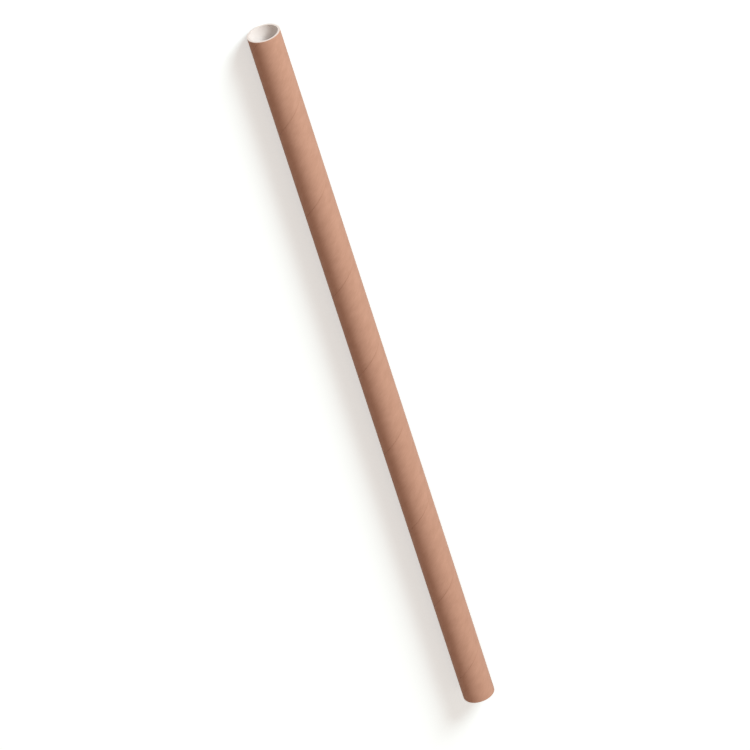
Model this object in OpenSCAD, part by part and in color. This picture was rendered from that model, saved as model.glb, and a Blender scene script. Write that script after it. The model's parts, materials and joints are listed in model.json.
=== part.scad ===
// A paper drinking straw, lying along X on the surface z = 0. A white tube wound from
// paper strips carries one strip of brown paper, wound over it edge to edge and glued shut.

/* [Straw] */
// Length between the two cut ends
straw_length = 197; // [120:1:260]
// Diameter over the brown paper
outer_d = 8; // [5:0.5:12]

/* [Paper] */
// Thickness of the brown strip
wrap_t = 0.16; // [0.12:0.01:0.25]
// Thickness of the white wall under it
tube_t = 0.34; // [0.2:0.01:0.6]

/* [Winding] */
// Angle of the strips to a ring round the straw
wind_angle = 43; // [35:1:55]
// Width of the seam, where the rounded edges of a strip meet
seam_w = 0.16; // [0.08:0.01:0.3]
// Depth of the seam
seam_depth = 0.06; // [0.03:0.01:0.1]
// Place of the seam at half the straw's length, turned from straight down towards +Y
seam_turn = 255; // [0:15:345]

/* [Hidden] */
$fn = 128;
// Facets of the seam in one turn
seam_steps = 48;
// How far a cut runs out past the paper
over = 0.1;
// Colours of the two papers
brown = [0.75, 0.56, 0.45];
white = [0.97, 0.96, 0.94];

// Radii from the outside inwards
wrap_r = outer_d / 2;
tube_r = wrap_r - wrap_t;
bore_r = tube_r - tube_t;
// How far a strip moves along the straw in one turn
pitch = 2 * PI * wrap_r * tan(wind_angle);
// The seam has whole facets, so it runs out a little past both ends
seam_facets = ceil((straw_length + 2 * over) / pitch * seam_steps);

// A square-cut paper tube, upright and centred
module wound_tube(outer_r, inner_r) {
    difference() {
        cylinder(h = straw_length, r = outer_r, center = true);
        cylinder(h = straw_length + 2 * over, r = inner_r, center = true);
    }
}

// A V groove that climbs round the wall of the bore as a helix, open towards the axis
module seam() {
    foot_r = bore_r + seam_depth;
    mouth_r = bore_r - over;
    mouth_w = seam_w / sin(wind_angle) * (seam_depth + over) / seam_depth;
    // It starts at its lower end, so this brings it to its place at half the length
    start_turn = seam_turn - 180 * seam_facets / seam_steps;
    rotate([0, 0, start_turn])
        linear_extrude(height = seam_facets * pitch / seam_steps, center = true,
                twist = -360 * seam_facets / seam_steps, slices = seam_facets, $fn = 0)
            polygon([[foot_r, 0], [mouth_r, mouth_w / 2], [mouth_r, -mouth_w / 2]]);
}

// Lays an upright piece down along X, resting on z = 0
module lying() {
    translate([0, 0, wrap_r])
        rotate([0, 90, 0])
            children();
}

// The white wall, with the seam of its innermost strip in the bore
module inner_tube() {
    color(white)
        lying()
            difference() {
                wound_tube(tube_r, bore_r);
                seam();
            }
}

// The brown strip, whose turns meet edge to edge and close to one smooth skin
module outer_wrap() {
    color(brown)
        lying()
            wound_tube(wrap_r, tube_r);
}

inner_tube();
outer_wrap();
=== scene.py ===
"""The looks of a paper drinking straw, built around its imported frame.

The straw lies along X. Both of its papers are made as the real ones are wound: a thin ring,
grooved where the edges of a strip meet, is swept along the straw while it turns, so the
groove climbs round as a helix and every face follows the run of the strip.
"""

import json
import logging
import math
from dataclasses import dataclass
from enum import Enum

import bmesh
import bpy
from mathutils import Matrix, Vector


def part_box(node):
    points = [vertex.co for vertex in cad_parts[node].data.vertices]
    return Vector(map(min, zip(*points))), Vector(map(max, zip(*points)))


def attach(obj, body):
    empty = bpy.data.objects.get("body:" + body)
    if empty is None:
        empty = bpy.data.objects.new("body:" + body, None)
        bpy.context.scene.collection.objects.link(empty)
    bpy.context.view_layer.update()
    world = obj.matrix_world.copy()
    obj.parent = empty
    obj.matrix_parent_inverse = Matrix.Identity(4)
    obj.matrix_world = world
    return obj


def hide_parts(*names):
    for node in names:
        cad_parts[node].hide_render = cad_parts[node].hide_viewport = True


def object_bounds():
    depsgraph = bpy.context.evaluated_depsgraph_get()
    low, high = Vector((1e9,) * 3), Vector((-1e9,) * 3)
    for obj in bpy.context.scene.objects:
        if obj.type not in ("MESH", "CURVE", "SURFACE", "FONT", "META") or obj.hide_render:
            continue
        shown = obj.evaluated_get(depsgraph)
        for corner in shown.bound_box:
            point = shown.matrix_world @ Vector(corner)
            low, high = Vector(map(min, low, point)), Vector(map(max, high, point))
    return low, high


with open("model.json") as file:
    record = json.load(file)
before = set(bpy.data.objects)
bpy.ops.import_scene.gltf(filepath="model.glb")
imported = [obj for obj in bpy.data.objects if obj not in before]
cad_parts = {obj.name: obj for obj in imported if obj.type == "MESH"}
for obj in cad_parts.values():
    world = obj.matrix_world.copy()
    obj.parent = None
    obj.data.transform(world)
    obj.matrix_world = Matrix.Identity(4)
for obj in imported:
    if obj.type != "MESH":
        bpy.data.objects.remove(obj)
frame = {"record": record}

MM = 0.001
# What the papers' meshes carry for their materials
STRIP_MAP = "strip"
CUT_LAYER = "cut"
# Marks each seam's groove, 1 at its foot, where the papers take a glue line's colour with
# painted shade
SEAM_GLUE_AND_SHADE_LAYER = "seam"
# The colour sockets of a Mix node, whose plain names are shared with its float sockets
COLOUR_A, COLOUR_B, COLOUR_OUT = 6, 7, 2
# Vertices closer than this are one
WELD = 0.001 * MM
# A face of the upright wall is a cut end if its normal has this share along Z
END_FACING = 0.9
# The part of a noise's range that is spread over 0 to 1
NOISE_LOW = 0.3
NOISE_HIGH = 0.7

Colour = tuple[float, float, float]

cad_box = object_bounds()
log = logging.getLogger("straw")


class Side(Enum):
    """The face of a wound paper that carries its seam.

    The value is 1 where that face looks away from the straw's axis, and -1 where it looks
    towards it.
    """

    OUTSIDE = 1
    BORE = -1


@dataclass(frozen=True)
class Winding:
    """How the paper strips run round the straw.

    Attributes:
        angle: from a ring round the straw to the run of a strip.
        seam_width: across a seam, where the rounded edges of a strip meet.
        seam_depth: from the paper's face to the foot of a seam.
        middle_angle: where the outside seam lies at half the straw's length, from straight
            down and towards +Y.
        ring_facets: faces of a paper in one ring round the straw.
        turn_facets: steps of the sweep in one turn of a strip.
        doublings: how often the first stretch of the sweep is doubled.
    """

    angle: float = math.radians(43)
    seam_width: float = 0.16 * MM
    seam_depth: float = 0.06 * MM
    middle_angle: float = math.radians(82.5)
    ring_facets: int = 80
    turn_facets: int = 48
    doublings: int = 3

    def pitch(self, radius: float) -> float:
        """How far a strip moves along the straw in one turn at this radius."""
        return math.tau * radius * math.tan(self.angle)

    def mouth_angle(self, radius: float) -> float:
        """The angle round the straw's axis that a seam takes at this radius."""
        return self.seam_width / math.sin(self.angle) / radius


@dataclass(frozen=True)
class Grain:
    """A noise on the flat strip.

    Attributes:
        along: features for each millimetre along the strip.
        across: features for each millimetre across it.
        detail: how many finer noises it adds.
    """

    along: float
    across: float
    detail: float


CLOUDS = Grain(along=0.30, across=0.55, detail=3.0)
FIBRES = Grain(along=0.55, across=4.5, detail=4.0)


def mixed_colour(
    tree: bpy.types.NodeTree, first: Colour, second: Colour
) -> bpy.types.Node:
    """Adds a Mix node for two colours.

    Args:
        tree: the node tree that takes it.
        first: the colour at a factor of 0.
        second: the colour at a factor of 1.

    Returns:
        The node.
    """
    node = tree.nodes.new("ShaderNodeMix")
    node.data_type = "RGBA"
    node.inputs[COLOUR_A].default_value = (*first, 1.0)
    node.inputs[COLOUR_B].default_value = (*second, 1.0)
    return node


def linked_maths(
    tree: bpy.types.NodeTree,
    operation: str,
    first: bpy.types.NodeSocket,
    second: bpy.types.NodeSocket,
) -> bpy.types.NodeSocket:
    """Adds a Math node on two linked values.

    Args:
        tree: the node tree that takes it.
        operation: what it does with them.
        first: the first value.
        second: the second value.

    Returns:
        The socket of its result.
    """
    node = tree.nodes.new("ShaderNodeMath")
    node.operation = operation
    tree.links.new(first, node.inputs[0])
    tree.links.new(second, node.inputs[1])
    return node.outputs["Value"]


def strip_noise(
    tree: bpy.types.NodeTree, strip: bpy.types.NodeSocket, grain: Grain
) -> bpy.types.NodeSocket:
    """Adds a noise that is read from the flat strip.

    Args:
        tree: the node tree that takes it.
        strip: the place on the flat strip, in millimetres.
        grain: how fine the noise is.

    Returns:
        The socket of its value, from 0 to 1.
    """
    place = tree.nodes.new("ShaderNodeMapping")
    place.inputs["Scale"].default_value = (grain.along, grain.across, 1.0)
    tree.links.new(strip, place.inputs["Vector"])
    noise = tree.nodes.new("ShaderNodeTexNoise")
    noise.noise_dimensions = "2D"
    noise.inputs["Scale"].default_value = 1.0
    noise.inputs["Detail"].default_value = grain.detail
    tree.links.new(place.outputs["Vector"], noise.inputs["Vector"])
    spread = tree.nodes.new("ShaderNodeMapRange")
    spread.inputs["From Min"].default_value = NOISE_LOW
    spread.inputs["From Max"].default_value = NOISE_HIGH
    tree.links.new(noise.outputs["Fac"], spread.inputs["Value"])
    return spread.outputs["Result"]


def fibre_group() -> bpy.types.NodeTree:
    """The fibres of a paper sheet, read from its flat strip in millimetres.

    Returns:
        A node group that puts out Tone, 0 to 1 from light to dark, and Height, 0 to 1.
    """
    name = "paper_fibres"
    if name in bpy.data.node_groups:
        return bpy.data.node_groups[name]
    group = bpy.data.node_groups.new(name, "ShaderNodeTree")
    for socket, way, kind in (
        ("Strip", "INPUT", "NodeSocketVector"),
        ("Mottle", "INPUT", "NodeSocketFloat"),
        ("Streak", "INPUT", "NodeSocketFloat"),
        ("Tone", "OUTPUT", "NodeSocketFloat"),
        ("Height", "OUTPUT", "NodeSocketFloat"),
    ):
        group.interface.new_socket(name=socket, in_out=way, socket_type=kind)
    enter = group.nodes.new("NodeGroupInput")
    leave = group.nodes.new("NodeGroupOutput")
    cloud = strip_noise(group, enter.outputs["Strip"], CLOUDS)
    fibre = strip_noise(group, enter.outputs["Strip"], FIBRES)
    cloudy = linked_maths(group, "MULTIPLY", cloud, enter.outputs["Mottle"])
    streaky = linked_maths(group, "MULTIPLY", fibre, enter.outputs["Streak"])
    tone = linked_maths(group, "ADD", cloudy, streaky)
    group.links.new(tone, leave.inputs["Tone"])
    group.links.new(fibre, leave.inputs["Height"])
    return group


@dataclass(frozen=True)
class PaperFinish:
    """A matte paper, with its fibres along the strip.

    Attributes:
        name: of the material.
        light: colour of the palest fibres.
        dark: colour of the darkest fibres.
        seam: colour at the foot of a seam: a glue line and painted shade in its groove.
        core: colour of the paper where it is cut.
        mottle: share of the dark colour in the cloudy tone of the sheet.
        streak: share of the dark colour in single fibres.
        roughness: of the paper's face, between its light and its dark fibres.
        roughness_spread: from there to the roughness of either.
        specular: level of the paper's weak gloss.
        sheen: weight of the soft light on its fuzz.
        bump: height of the fibres, in metres.
    """

    name: str
    light: Colour
    dark: Colour
    seam: Colour
    core: Colour
    mottle: float
    streak: float
    roughness: float
    roughness_spread: float = 0.06
    specular: float = 0.12
    sheen: float = 0.02
    bump: float = 0.004 * MM

    def material(self) -> bpy.types.Material:
        """Builds the node material.

        Returns:
            The finished material.
        """
        made = bpy.data.materials.new(self.name)
        made.use_nodes = True
        tree = made.node_tree
        nodes, links = tree.nodes, tree.links
        shader = nodes["Principled BSDF"]
        shader.inputs["Specular IOR Level"].default_value = self.specular
        shader.inputs["Sheen Weight"].default_value = self.sheen

        strip = nodes.new("ShaderNodeUVMap")
        strip.uv_map = STRIP_MAP
        fibres = nodes.new("ShaderNodeGroup")
        fibres.node_tree = fibre_group()
        fibres.inputs["Mottle"].default_value = self.mottle
        fibres.inputs["Streak"].default_value = self.streak
        links.new(strip.outputs["UV"], fibres.inputs["Strip"])

        colour = mixed_colour(tree, self.light, self.dark)
        links.new(fibres.outputs["Tone"], colour.inputs["Factor"])
        # A seam darkens towards the foot of its groove, a glue line with painted shade; a cut
        # end shows the pale core
        for layer, shade in ((SEAM_GLUE_AND_SHADE_LAYER, self.seam), (CUT_LAYER, self.core)):
            mask = nodes.new("ShaderNodeAttribute")
            mask.attribute_name = layer
            over = mixed_colour(tree, self.light, shade)
            links.new(mask.outputs["Fac"], over.inputs["Factor"])
            links.new(colour.outputs[COLOUR_OUT], over.inputs[COLOUR_A])
            colour = over
        links.new(colour.outputs[COLOUR_OUT], shader.inputs["Base Color"])

        rough = nodes.new("ShaderNodeMapRange")
        rough.inputs["To Min"].default_value = self.roughness - self.roughness_spread
        rough.inputs["To Max"].default_value = self.roughness + self.roughness_spread
        links.new(fibres.outputs["Tone"], rough.inputs["Value"])
        links.new(rough.outputs["Result"], shader.inputs["Roughness"])

        bump = nodes.new("ShaderNodeBump")
        bump.inputs["Distance"].default_value = self.bump
        links.new(fibres.outputs["Height"], bump.inputs["Height"])
        links.new(bump.outputs["Normal"], shader.inputs["Normal"])
        return made


BROWN_PAPER = PaperFinish(
    name="brown_paper",
    light=(0.660, 0.402, 0.296),
    dark=(0.470, 0.262, 0.180),
    # Darker at the seam's foot: a glue line and painted shade in the groove
    seam=(0.460, 0.252, 0.170),
    core=(0.950, 0.895, 0.850),
    mottle=0.22,
    streak=0.22,
    roughness=0.62,
)
WHITE_PAPER = PaperFinish(
    name="white_paper",
    light=(0.960, 0.940, 0.922),
    dark=(0.870, 0.825, 0.800),
    # Darker at the foot of the bore's seam: a glue line and painted shade in the groove
    seam=(0.600, 0.510, 0.480),
    core=(0.960, 0.940, 0.920),
    mottle=0.25,
    streak=0.25,
    roughness=0.65,
)


def climb(
    bm: bmesh.types.BMesh, verts: list[bmesh.types.BMVert], turn: float, rise: float
) -> None:
    """Turns vertices round Z and moves them along it.

    Args:
        bm: the mesh that holds them.
        verts: the vertices to move.
        turn: in radians.
        rise: in metres.
    """
    round_z = Matrix.Rotation(turn, 3, "Z")
    bmesh.ops.rotate(bm, verts=verts, cent=(0, 0, 0), matrix=round_z)
    bmesh.ops.translate(bm, verts=verts, vec=(0, 0, rise))


@dataclass
class WoundPaper:
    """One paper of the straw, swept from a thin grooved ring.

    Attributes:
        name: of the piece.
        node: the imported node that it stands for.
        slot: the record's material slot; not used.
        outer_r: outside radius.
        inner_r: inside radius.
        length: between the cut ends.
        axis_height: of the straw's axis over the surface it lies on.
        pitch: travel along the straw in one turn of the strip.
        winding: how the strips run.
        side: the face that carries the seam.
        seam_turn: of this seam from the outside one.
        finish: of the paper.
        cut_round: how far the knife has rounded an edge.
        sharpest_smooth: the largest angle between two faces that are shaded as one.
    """

    name: str
    node: str
    slot: str
    outer_r: float
    inner_r: float
    length: float
    axis_height: float
    pitch: float
    winding: Winding
    side: Side
    seam_turn: float
    finish: PaperFinish
    cut_round: float = 0.025 * MM
    sharpest_smooth: float = math.radians(20)

    def seam_angle(self, height: float) -> float:
        """Where the seam lies round Z at this height of the upright wall."""
        at_middle = self.winding.middle_angle + self.seam_turn
        return at_middle + math.tau * height / self.pitch

    def add_ring(self, bm: bmesh.types.BMesh) -> None:
        """Makes a flat ring round Z, grooved at the angle 0.

        Args:
            bm: the empty mesh that takes it.
        """
        seam = bm.verts.layers.float.new(SEAM_GLUE_AND_SHADE_LAYER)
        seam_r = self.outer_r if self.side is Side.OUTSIDE else self.inner_r
        half_mouth = self.winding.mouth_angle(seam_r) / 2
        first = [bm.verts.new((r, 0, 0)) for r in (self.inner_r, self.outer_r)]
        start = bm.edges.new(first)
        climb(bm, first, half_mouth, 0.0)
        swung = bmesh.ops.spin(
            bm,
            geom=[*first, start],
            cent=(0, 0, 0),
            axis=(0, 0, 1),
            angle=math.tau - 2 * half_mouth,
            steps=self.winding.ring_facets,
        )
        end = next(g for g in swung["geom_last"] if isinstance(g, bmesh.types.BMEdge))
        # The last face closes the ring, and the middle of its rim is the foot of the groove
        closed = bmesh.ops.contextual_create(bm, geom=[start, end])
        rims = [e for e in closed["faces"][0].edges if e not in (start, end)]
        split = bmesh.ops.subdivide_edges(bm, edges=rims, cuts=1)
        middles = [g for g in split["geom_inner"] if isinstance(g, bmesh.types.BMVert)]
        foot = min(middles, key=lambda vert: abs(vert.co.x - seam_r))
        foot_r = seam_r - self.side.value * self.winding.seam_depth
        bmesh.ops.translate(bm, verts=[foot], vec=(foot_r - foot.co.x, 0, 0))
        # The mark fades from the groove's foot to its mouth: a glue line, with painted shade
        # deeper in the groove
        foot[seam] = 1.0

    def sweep(self, bm: bmesh.types.BMesh) -> None:
        """Sweeps the ring along Z while it turns, into a wall with both ends closed.

        A short stretch is spun, and then doubled until the wall has its whole length.

        Args:
            bm: the flat ring.
        """
        stretches = 2**self.winding.doublings
        rise = self.length / stretches
        turn = math.tau * rise / self.pitch
        steps = math.ceil(turn / math.tau * self.winding.turn_facets)
        half = self.length / 2
        climb(bm, bm.verts, self.seam_angle(-half), -half)
        near_rims = [edge for edge in bm.edges if edge.is_boundary]
        near_verts = list(bm.verts)
        # A copy of the ring closes the far end
        far = bmesh.ops.duplicate(bm, geom=bm.faces)["geom"]
        far_verts = [g for g in far if isinstance(g, bmesh.types.BMVert)]
        climb(bm, far_verts, turn * stretches, self.length)
        ends = set(bm.faces)
        bmesh.ops.spin(
            bm,
            geom=[*near_rims, *near_verts],
            cent=(0, 0, 0),
            axis=(0, 0, 1),
            dvec=(0, 0, rise / steps),
            angle=turn,
            steps=steps,
        )
        wall = [face for face in bm.faces if face not in ends]
        for doubling in range(self.winding.doublings):
            more = bmesh.ops.duplicate(bm, geom=wall)["geom"]
            verts = [g for g in more if isinstance(g, bmesh.types.BMVert)]
            climb(bm, verts, turn * 2**doubling, rise * 2**doubling)
            wall += [g for g in more if isinstance(g, bmesh.types.BMFace)]
        bmesh.ops.remove_doubles(bm, verts=bm.verts, dist=WELD)
        bmesh.ops.recalc_face_normals(bm, faces=bm.faces)

    def round_cuts(self, bm: bmesh.types.BMesh) -> None:
        """Rounds the edges of both cut ends and marks their faces.

        Args:
            bm: the swept wall.
        """
        ends = {face for face in bm.faces if abs(face.normal.z) > END_FACING}
        edges = [e for e in bm.edges if sum(face in ends for face in e.link_faces) == 1]
        bmesh.ops.bevel(
            bm,
            geom=edges,
            offset=self.cut_round,
            segments=2,
            profile=0.5,
            affect="EDGES",
            material=-1,
            clamp_overlap=True,
        )
        layer = bm.faces.layers.float.new(CUT_LAYER)
        paper_end = self.length / 2 - self.cut_round + WELD
        for face in bm.faces:
            face[layer] = float(abs(face.calc_center_median().z) > paper_end)

    def map_strip(self, bm: bmesh.types.BMesh) -> None:
        """Writes the UV map, in millimetres.

        The strip is unrolled, along and across its run. A cut end is read round the straw and
        out from its axis, so its fibres lie in the layers of the paper.

        Args:
            bm: the swept wall, still upright.
        """
        cut = bm.faces.layers.float[CUT_LAYER]
        strip = bm.loops.layers.uv.new(STRIP_MAP)
        round_it = math.tau * self.outer_r
        sine, cosine = math.sin(self.winding.angle), math.cos(self.winding.angle)
        for face in bm.faces:
            places = [loop.vert.co for loop in face.loops]
            # How far round from the seam each corner lies, as a share of a turn
            shares = [
                (math.atan2(p.y, p.x) - self.seam_angle(p.z)) / math.tau % 1.0
                for p in places
            ]
            wraps = max(shares) - min(shares) > 0.5
            for loop, place, share in zip(face.loops, places, shares):
                if wraps and share < 0.5:
                    share += 1.0
                along = round_it * share * cosine + place.z / sine
                across = round_it * share * sine
                if face[cut]:
                    along = round_it * share
                    across = place.xy.length
                loop[strip].uv = along / MM, across / MM

    def split_faces(self, bm: bmesh.types.BMesh) -> None:
        """Splits the twisted faces across their short way, where they stray least from round."""
        bmesh.ops.triangulate(bm, faces=bm.faces, quad_method="SHORT_EDGE")

    def lay_down(self, bm: bmesh.types.BMesh) -> None:
        """Turns the upright wall to lie along X on the surface.

        Args:
            bm: the finished wall.
        """
        down = Matrix.Rotation(math.radians(90), 3, "Y")
        bmesh.ops.rotate(bm, verts=bm.verts, cent=(0, 0, 0), matrix=down)
        bmesh.ops.translate(bm, verts=bm.verts, vec=(0, 0, self.axis_height))

    def build(self) -> bpy.types.Object:
        """Returns:
            The finished object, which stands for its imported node.
        """
        bm = bmesh.new()
        self.add_ring(bm)
        self.sweep(bm)
        self.round_cuts(bm)
        self.map_strip(bm)
        self.split_faces(bm)
        self.lay_down(bm)
        for face in bm.faces:
            face.smooth = True
        mesh = bpy.data.meshes.new(self.name)
        bm.to_mesh(mesh)
        bm.free()
        mesh.set_sharp_from_angle(angle=self.sharpest_smooth)
        mesh.materials.append(self.finish.material())
        piece = bpy.data.objects.new(self.name, mesh)
        bpy.context.scene.collection.objects.link(piece)
        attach(piece, "root")
        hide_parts(self.node)
        return piece


def mount_radius(name: str) -> float:
    """The radius that the record states for a round mount, in metres.

    Args:
        name: of the mount.

    Returns:
        Its radius.
    """
    mounts = {mount["name"]: mount for mount in frame["record"]["mounts"]}
    return mounts[name]["dims"]["r_mm"] * MM


@dataclass
class Straw:
    """The whole straw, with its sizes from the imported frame.

    Attributes:
        winding: how its strips run.
    """

    winding: Winding = Winding()

    def papers(self) -> list[WoundPaper]:
        """The brown strip and the white wall.

        Returns:
            Both papers, ready to build.
        """
        low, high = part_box("outer_wrap")
        tube_low, tube_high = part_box("inner_tube")
        wrap_r = (high.z - low.z) / 2
        tube_r = (tube_high.z - tube_low.z) / 2
        shared = {
            "length": high.x - low.x,
            "axis_height": (high.z + low.z) / 2,
            "pitch": self.winding.pitch(wrap_r),
            "winding": self.winding,
        }
        brown = WoundPaper(
            name="brown_strip",
            node="outer_wrap",
            slot="brown_paper",
            outer_r=wrap_r,
            inner_r=tube_r,
            side=Side.OUTSIDE,
            seam_turn=0.0,
            finish=BROWN_PAPER,
            **shared,
        )
        white = WoundPaper(
            name="white_wall",
            node="inner_tube",
            slot="white_paper",
            outer_r=tube_r,
            inner_r=mount_radius("bore"),
            side=Side.BORE,
            seam_turn=math.pi,
            finish=WHITE_PAPER,
            **shared,
        )
        return [brown, white]

    def build(self) -> list[bpy.types.Object]:
        """Builds both papers and returns their objects."""
        return [paper.build() for paper in self.papers()]


@dataclass(frozen=True)
class View:
    """The camera, which looks down into the straw's open end.

    Attributes:
        towards_end: of the line of sight, from square on the straw towards its +X end.
        lean: of the straw in the picture, to the left of upright.
        distance: from the straw's middle to the camera.
        frame_width: seen at the straw's middle.
    """

    towards_end: float = math.radians(32.4)
    lean: float = math.radians(18.1)
    distance: float = 1.44
    frame_width: float = 0.180

    def build(self, target: Vector) -> None:
        """Places the camera and makes it the scene's own.

        Args:
            target: the point in the middle of the picture.
        """
        sine, cosine = math.sin(self.towards_end), math.cos(self.towards_end)
        back = Vector((sine, 0, cosine))
        up = Vector((cosine, 0, -sine))
        facing = Matrix((up.cross(back), up, back)).transposed()
        facing = facing @ Matrix.Rotation(-self.lean, 3, "Z")
        data = bpy.data.cameras.new("camera")
        data.lens = data.sensor_width * self.distance / self.frame_width
        camera = bpy.data.objects.new("camera", data)
        place = Matrix.Translation(target + self.distance * back)
        camera.matrix_world = place @ facing.to_4x4()
        bpy.context.scene.collection.objects.link(camera)
        bpy.context.scene.camera = camera


@dataclass(frozen=True)
class Lamp:
    """A square soft lamp that looks at the straw's middle.

    Attributes:
        name: of the lamp.
        towards_end: angle of the lamp towards the straw's +X end.
        round_axis: angle of the lamp round the straw, from straight up towards -Y.
        level: of its light on a face that looks straight at it, where 1 shows a colour as
            it is written.
        colour: of its light.
        distance: of the lamp.
        size: of its square face.
    """

    name: str
    towards_end: float
    round_axis: float
    level: float
    colour: Colour
    distance: float = 2.4
    size: float = 0.9

    def build(self) -> None:
        """Hangs the lamp."""
        data = bpy.data.lights.new(self.name, "AREA")
        data.shape = "SQUARE"
        data.size = self.size
        data.color = self.colour
        # The power that lights a face at this distance to the wanted level
        data.energy = self.level * math.pi**2 * self.distance**2
        lamp = bpy.data.objects.new(self.name, data)
        across = math.cos(self.towards_end)
        direction = Vector((
            math.sin(self.towards_end),
            -across * math.sin(self.round_axis),
            across * math.cos(self.round_axis),
        ))
        lamp.matrix_world = (
            Matrix.Translation(self.distance * direction)
            @ direction.to_track_quat("Z", "Y").to_matrix().to_4x4()
        )
        bpy.context.scene.collection.objects.link(lamp)


def show_apart(
    tree: bpy.types.NodeTree,
    lighting: bpy.types.NodeSocket,
    shown: bpy.types.NodeSocket,
    output: str,
) -> None:
    """Links one shader for the light on the straw, and another for what is looked at.

    Args:
        tree: the node tree that holds them.
        lighting: the shader that lights the straw.
        shown: the shader that the camera sees, also in a gloss or through a glass.
        output: name of the tree's output node.
    """
    path = tree.nodes.new("ShaderNodeLightPath")
    seen = path.outputs["Is Camera Ray"]
    for kind in ("Is Glossy Ray", "Is Transmission Ray"):
        seen = linked_maths(tree, "MAXIMUM", seen, path.outputs[kind])
    both = tree.nodes.new("ShaderNodeMixShader")
    tree.links.new(seen, both.inputs["Fac"])
    tree.links.new(lighting, both.inputs[1])
    tree.links.new(shown, both.inputs[2])
    tree.links.new(both.outputs["Shader"], tree.nodes[output].inputs["Surface"])


@dataclass(frozen=True)
class Studio:
    """A pale floor under two soft lamps and an even sky.

    Attributes:
        key: the main lamp, over the straw's open end.
        end_lamp: a weak lamp, low beyond the other end, that looks into the bore.
        fill_level: of the sky's light.
        fill_colour: of the sky's light.
        floor_size: of the floor.
        floor_shown: colour of the floor as the camera sees it.
        floor_lift: light that the floor adds for the camera alone.
        floor_bounce: colour of the floor as the straw sees it.
    """

    key: Lamp = Lamp(
        name="key",
        towards_end=math.radians(42),
        round_axis=math.radians(52),
        level=0.93,
        colour=(0.97, 1.0, 1.0),
    )
    end_lamp: Lamp = Lamp(
        name="end_lamp",
        towards_end=math.radians(-85),
        round_axis=0.0,
        level=0.42,
        colour=(1.0, 0.92, 0.86),
    )
    fill_level: float = 0.35
    fill_colour: Colour = (1.0, 0.71, 0.56)
    floor_size: float = 4.0
    floor_shown: Colour = (0.72, 0.85, 0.88)
    floor_lift: float = 0.50
    floor_bounce: Colour = (0.25, 0.18, 0.14)

    def sky(self) -> None:
        """Makes the world white to look at, with its own even light."""
        world = bpy.data.worlds.new("studio")
        world.use_nodes = True
        tree = world.node_tree
        light = tree.nodes["Background"]
        light.inputs["Color"].default_value = (*self.fill_colour, 1.0)
        light.inputs["Strength"].default_value = self.fill_level
        white = tree.nodes.new("ShaderNodeBackground")
        white.inputs["Color"].default_value = (1.0, 1.0, 1.0, 1.0)
        show_apart(
            tree, light.outputs["Background"], white.outputs["Background"], "World Output"
        )
        bpy.context.scene.world = world

    def floor_material(self) -> bpy.types.Material:
        """Makes the floor white to look at, with the straw's shadow on it.

        Returns:
            The floor's material.
        """
        made = bpy.data.materials.new("floor")
        made.use_nodes = True
        tree = made.node_tree
        shown = tree.nodes["Principled BSDF"]
        shown.inputs["Base Color"].default_value = (*self.floor_shown, 1.0)
        shown.inputs["Roughness"].default_value = 1.0
        shown.inputs["Specular IOR Level"].default_value = 0.0
        lift = tree.nodes.new("ShaderNodeEmission")
        lift.inputs["Strength"].default_value = self.floor_lift
        lifted = tree.nodes.new("ShaderNodeAddShader")
        tree.links.new(shown.outputs["BSDF"], lifted.inputs[0])
        tree.links.new(lift.outputs["Emission"], lifted.inputs[1])
        bounce = tree.nodes.new("ShaderNodeBsdfDiffuse")
        bounce.inputs["Color"].default_value = (*self.floor_bounce, 1.0)
        show_apart(
            tree, bounce.outputs["BSDF"], lifted.outputs["Shader"], "Material Output"
        )
        return made

    def floor(self) -> None:
        """Lays the floor at z = 0."""
        bm = bmesh.new()
        bmesh.ops.create_grid(bm, x_segments=1, y_segments=1, size=self.floor_size / 2)
        mesh = bpy.data.meshes.new("floor")
        bm.to_mesh(mesh)
        bm.free()
        mesh.materials.append(self.floor_material())
        floor = bpy.data.objects.new("floor", mesh)
        bpy.context.scene.collection.objects.link(floor)

    def build(self) -> None:
        """Builds the floor, the sky and both lamps."""
        self.floor()
        self.sky()
        self.key.build()
        self.end_lamp.build()
        bpy.context.scene.view_settings.view_transform = "Standard"


def main() -> None:
    """Builds the studio, the camera and the straw, in that order."""
    logging.basicConfig(level=logging.INFO, format="%(name)s: %(message)s")
    Studio().build()
    middle = (Vector(cad_box[0]) + Vector(cad_box[1])) / 2
    View().build(middle)
    for piece in Straw().build():
        log.info("%s: %d faces", piece.name, len(piece.data.polygons))


if __name__ == "__main__":
    main()
